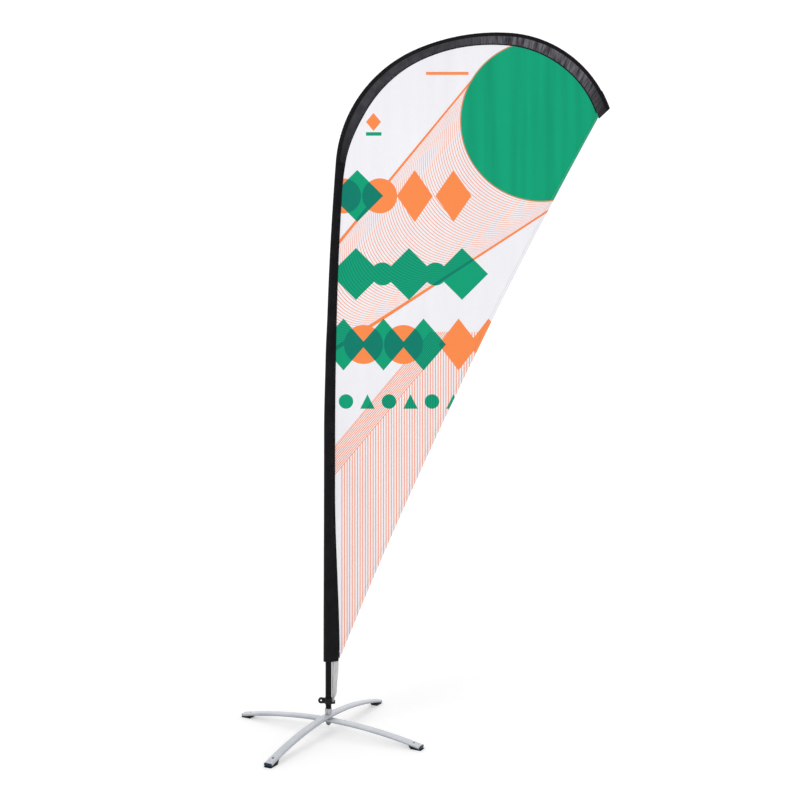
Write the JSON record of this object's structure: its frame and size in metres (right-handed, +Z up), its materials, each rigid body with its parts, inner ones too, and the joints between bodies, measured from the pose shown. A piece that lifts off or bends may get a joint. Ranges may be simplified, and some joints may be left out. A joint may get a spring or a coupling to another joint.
{
  "type": "teardrop flag",
  "caption": "Teardrop beach flag on a bent pole: printed panel in a black sleeve, elastic strap, swivel spindle and a folding cross base of arched bars.",
  "frame": {"origin": "on the floor, on the swivel axis, at the centre of the four ground-peg holes", "axes": "+Z up along the pole's straight foot; +X towards the flag's free edge; the flag lies in the XZ plane"},
  "size_m": [1.5032, 0.7558, 2.8002],
  "materials": {
    "bar_coat": "silver-grey powder coat, satin",
    "cap_plastic": "dark blue-black moulded plastic",
    "foot_rubber": "black rubber",
    "zinc_steel": "zinc-plated steel",
    "housing_metal": "satin grey turned metal",
    "bearing_steel": "polished bearing steel",
    "cage_plastic": "moulded polyamide",
    "bush_plastic": "white acetal",
    "black_metal": "black anodised",
    "spindle_steel": "bright turned steel",
    "pole_glassfibre": "black glass-fibre tube",
    "ring_plastic": "black moulded plastic",
    "sleeve_cloth": "black polyester with a soft sheen",
    "pocket_cloth": "black reinforced webbing",
    "flag_cloth": "white knitted polyester printed in green and orange",
    "hem_cloth": "folded and stitched hem",
    "strap_elastic": "light grey elastic webbing"
  },
  "bodies": {
    "base": {"lower_leg_bar": "bar_coat", "lower_bar_cap_a": "cap_plastic", "lower_bar_cap_b": "cap_plastic", "lower_foot_pad_a": "foot_rubber", "lower_foot_pad_b": "foot_rubber", "lower_foot_screws": "zinc_steel", "pivot_washer": "zinc_steel", "bar_spacer": "bush_plastic", "pivot_bolt": "zinc_steel", "lock_nut": "zinc_steel", "bearing_housing": "housing_metal", "grub_screw": "zinc_steel", "bearing_outer_race": "bearing_steel", "upper_bush": "bush_plastic"},
    "upper_leg": {"upper_leg_bar": "bar_coat", "upper_bar_cap_a": "cap_plastic", "upper_bar_cap_b": "cap_plastic", "upper_foot_pad_a": "foot_rubber", "upper_foot_pad_b": "foot_rubber", "upper_foot_screws": "zinc_steel"},
    "ball_cage": {"bearing_cage": "cage_plastic", "bearing_balls": "bearing_steel"},
    "rotor": {"rotor_spindle": "spindle_steel", "rotor_collar": "black_metal", "circlip": "zinc_steel", "bearing_inner_race": "bearing_steel"},
    "flag": {"pole_bottom_section": "black_metal", "pole_middle_section": "pole_glassfibre", "pole_upper_section": "pole_glassfibre", "pole_tip_section": "pole_glassfibre", "lower_stop_ring": "ring_plastic", "middle_stop_ring": "ring_plastic", "upper_stop_ring": "ring_plastic", "pole_tip_cap": "ring_plastic", "pole_sleeve_lower": "sleeve_cloth", "pole_sleeve_middle": "sleeve_cloth", "pole_sleeve_upper": "sleeve_cloth", "tip_pocket": "pocket_cloth", "flag_panel": "flag_cloth", "free_edge_hem": "hem_cloth", "hook_collar": "ring_plastic", "tension_strap": "strap_elastic"}
  },
  "joints": [
    {"name": "base_fold", "type": "hinge", "parent": "base", "child": "upper_leg", "pos_m": [0, 0, 0.058], "axis": [0, 0, 1], "range_deg": [-72, 72]},
    {"name": "flag_swivel", "type": "hinge", "parent": "base", "child": "rotor", "pos_m": [0, 0, 0.085], "axis": [0, 0, 1], "continuous": true},
    {"name": "ball_orbit", "type": "hinge", "parent": "base", "child": "ball_cage", "pos_m": [0, 0, 0.085], "axis": [0, 0, 1], "continuous": true},
    {"name": "pole_lift", "type": "slide", "parent": "rotor", "child": "flag", "axis": [0, 0, 1], "range_m": [0, 0.152]}
  ],
  "couplings": [
    {"joint": "ball_orbit", "follows": "flag_swivel", "ratio": 0.37}
  ]
}
